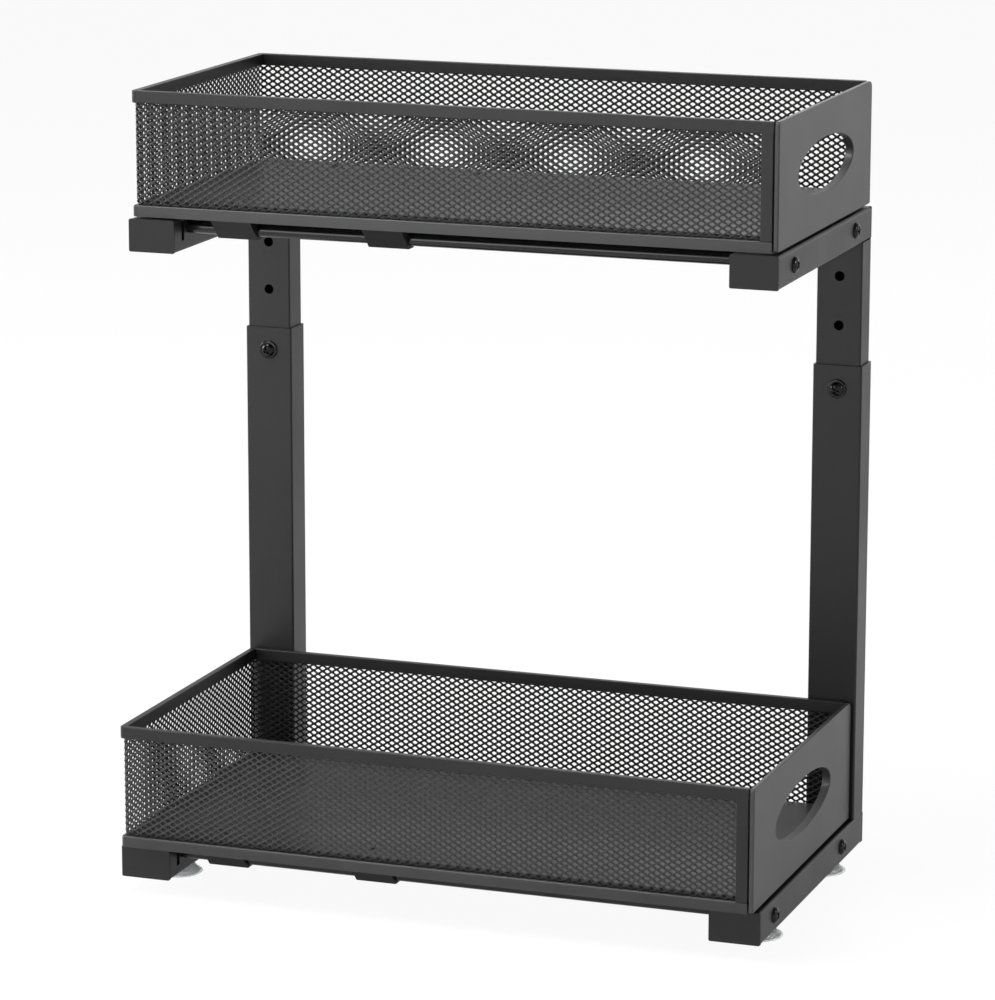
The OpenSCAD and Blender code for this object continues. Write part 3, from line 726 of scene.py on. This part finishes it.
# Outline in millimetres from the middle underneath, out to the lip and up to the stud
CUP_OUTLINE = [
    (0, 3.0), (3.5, 2.9), (6.5, 2.3), (9.2, 1.2), (11.4, 0.3), (12.6, 0.0), (14.2, 0.0), (14.5, 0.3),
    (14.3, 0.8), (13.4, 1.3), (12.0, 2.2), (10.6, 3.6), (9.2, 5.0), (7.4, 5.9), (5.6, 6.3), (5.0, 6.8),
    (5.0, 8.2), (5.6, 8.8), (5.6, 9.5), (3.0, 9.5), (3.0, 12.4), (0, 12.4),
]


def suction_cup(node):
    low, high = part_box(node)
    middle = ((low[0] + high[0]) / 2, (low[1] + high[1]) / 2)
    points, faces = [], []
    for radius, height in CUP_OUTLINE[1:-1]:
        r, z = radius * MM, height * MM
        for k in range(CUP_SIDES):
            turn = k * 2 * pi / CUP_SIDES
            points.append((middle[0] + r * cos(turn), middle[1] + r * sin(turn), z))
    rings = len(CUP_OUTLINE) - 2
    for ring in range(rings - 1):
        for k in range(CUP_SIDES):
            n = (k + 1) % CUP_SIDES
            a, b = ring * CUP_SIDES, (ring + 1) * CUP_SIDES
            faces.append((a + k, a + n, b + n, b + k))
    under = len(points)
    points.append((*middle, CUP_OUTLINE[0][1] * MM))
    faces += [(under, k, (k + 1) % CUP_SIDES) for k in range(CUP_SIDES)]
    faces.append(tuple((rings - 1) * CUP_SIDES + k for k in range(CUP_SIDES)))
    make_piece(f"cup_{node[5:]}", points, faces, clear_vinyl, "lower_frame", [node])


for node in ("foot_front_left", "foot_front_right", "foot_rear_left", "foot_rear_right"):
    suction_cup(node)

# %% [markdown]
# ## Floor and light
# The picture is a white studio: everything black in it is drawn by what it mirrors. A plain
# grey world would light it, but would flatten it too. So the world is white to the eye and round
# the horizon of reflections, dimmer overhead, and dim for diffuse light, and soft lamps round
# the object give a slow fall-off from left to right, thin highlights and a quiet shadow.

# %% A white studio with a dim ceiling
def seen_directly(tree):
    """A factor that is 1 for rays from the camera and from clear parts."""
    rays = tree.nodes.new("ShaderNodeLightPath")
    either = tree.nodes.new("ShaderNodeMath")
    either.operation = "MAXIMUM"
    tree.links.new(rays.outputs["Is Camera Ray"], either.inputs[0])
    tree.links.new(rays.outputs["Is Transmission Ray"], either.inputs[1])
    return either.outputs[0]


def mixed(tree, factor, first, second):
    mix = tree.nodes.new("ShaderNodeMixShader")
    tree.links.new(factor, mix.inputs["Fac"])
    tree.links.new(first, mix.inputs[1])
    tree.links.new(second, mix.inputs[2])
    return mix.outputs[0]


def plain_sky(tree, strength):
    sky = tree.nodes.new("ShaderNodeBackground")
    sky.inputs["Color"].default_value = (1, 1, 1, 1)
    sky.inputs["Strength"].default_value = strength
    return sky


FILL = 0.12
CEILING = 0.3
WALLS_END, CEILING_STARTS = 0.08, 0.5

world = bpy.data.worlds.new("studio")
bpy.context.scene.world = world
world.use_nodes = True
sky_tree = world.node_tree
fill_sky, white_sky, gloss_sky = [plain_sky(sky_tree, strength) for strength in (FILL, 1, 1)]
direction = sky_tree.nodes.new("ShaderNodeTexCoord")
split = sky_tree.nodes.new("ShaderNodeSeparateXYZ")
fade = sky_tree.nodes.new("ShaderNodeMapRange")
fade.inputs["From Min"].default_value = WALLS_END
fade.inputs["From Max"].default_value = CEILING_STARTS
fade.inputs["To Min"].default_value = 1
fade.inputs["To Max"].default_value = CEILING
sky_tree.links.new(direction.outputs["Generated"], split.inputs[0])
sky_tree.links.new(split.outputs["Z"], fade.inputs["Value"])
sky_tree.links.new(fade.outputs["Result"], gloss_sky.inputs["Strength"])
sky_rays = sky_tree.nodes.new("ShaderNodeLightPath")
is_gloss = sky_rays.outputs["Is Glossy Ray"]
unseen_sky = mixed(sky_tree, is_gloss, fill_sky.outputs[0], gloss_sky.outputs[0])
sky_mix = mixed(sky_tree, seen_directly(sky_tree), unseen_sky, white_sky.outputs[0])
sky_tree.links.new(sky_mix, sky_tree.nodes["World Output"].inputs["Surface"])

# %% A pale floor
FLOOR_HALF = 6.0
floor_mesh = bpy.data.meshes.new("studio_floor")
floor_corners = [(x * FLOOR_HALF, y * FLOOR_HALF, 0) for x, y in ((-1, -1), (1, -1), (1, 1), (-1, 1))]
floor_mesh.from_pydata(floor_corners, [], [(0, 1, 2, 3)])
studio_floor = bpy.data.objects.new("studio_floor", floor_mesh)
bpy.context.scene.collection.objects.link(studio_floor)

# %% White paper that glows only to the eye
PAPER_GLOW = 0.9
PAPER_IN_GLOSS = 0.4
PAPER_WHITE = 1.04
PAPER_TONE = 0.9
PAPER_ROUGH = 0.9

paper = bpy.data.materials.new("white_paper")
paper.use_nodes = True
paper_tree = paper.node_tree
paper_shader = paper_tree.nodes["Principled BSDF"]
paper_shader.inputs["Base Color"].default_value = (PAPER_TONE, PAPER_TONE, PAPER_TONE, 1)
paper_shader.inputs["Roughness"].default_value = PAPER_ROUGH
glow = paper_tree.nodes.new("ShaderNodeEmission")
glow.inputs["Strength"].default_value = PAPER_WHITE
paper_rays = paper_tree.nodes.new("ShaderNodeLightPath")


def scaled(tree, factor, share):
    times = tree.nodes.new("ShaderNodeMath")
    times.operation = "MULTIPLY"
    times.inputs[1].default_value = share
    tree.links.new(factor, times.inputs[0])
    return times.outputs[0]


to_eye = scaled(paper_tree, seen_directly(paper_tree), PAPER_GLOW)
to_gloss = scaled(paper_tree, paper_rays.outputs["Is Glossy Ray"], PAPER_IN_GLOSS)
glow_share = paper_tree.nodes.new("ShaderNodeMath")
glow_share.operation = "MAXIMUM"
paper_tree.links.new(to_eye, glow_share.inputs[0])
paper_tree.links.new(to_gloss, glow_share.inputs[1])
paper_mix = mixed(paper_tree, glow_share.outputs[0], paper_shader.outputs[0], glow.outputs[0])
paper_tree.links.new(paper_mix, paper_tree.nodes["Material Output"].inputs["Surface"])
floor_mesh.materials.append(paper)

# %% Soft lamps round the object
MIDDLE = (0, 0, 0.25)
FOOT = (0, 0, 0.1)


def soft_lamp(name, at, aim, width, watts):
    lamp_data = bpy.data.lights.new(name, "AREA")
    lamp_data.shape = "DISK"
    lamp_data.size = width
    lamp_data.energy = watts
    lamp = bpy.data.objects.new(name, lamp_data)
    lamp.location = at
    lamp.rotation_euler = (Vector(aim) - Vector(at)).to_track_quat("-Z", "Y").to_euler()
    bpy.context.scene.collection.objects.link(lamp)


soft_lamp("key_lamp", (-0.6, -0.6, 1.8), MIDDLE, 1, 25)
soft_lamp("front_lamp", (-0.75, -2.0, 0.4), MIDDLE, 0.8, 5.5)
soft_lamp("left_lamp", (-2.4, -0.3, 1), MIDDLE, 1.2, 44)
soft_lamp("rear_lamp", (-0.2, 2.2, 1.8), MIDDLE, 1.4, 11)
soft_lamp("right_lamp", (2.2, 0.2, 1.2), MIDDLE, 0.3, 9)
soft_lamp("low_lamp", (1.1, 2.0, 0.4), FOOT, 0.6, 0.9)

# %% [markdown]
# ## Last words
# The view transform is plain, so a grey in the material is the grey in the picture.

# %% Finish
bpy.context.scene.view_settings.view_transform = "Standard"
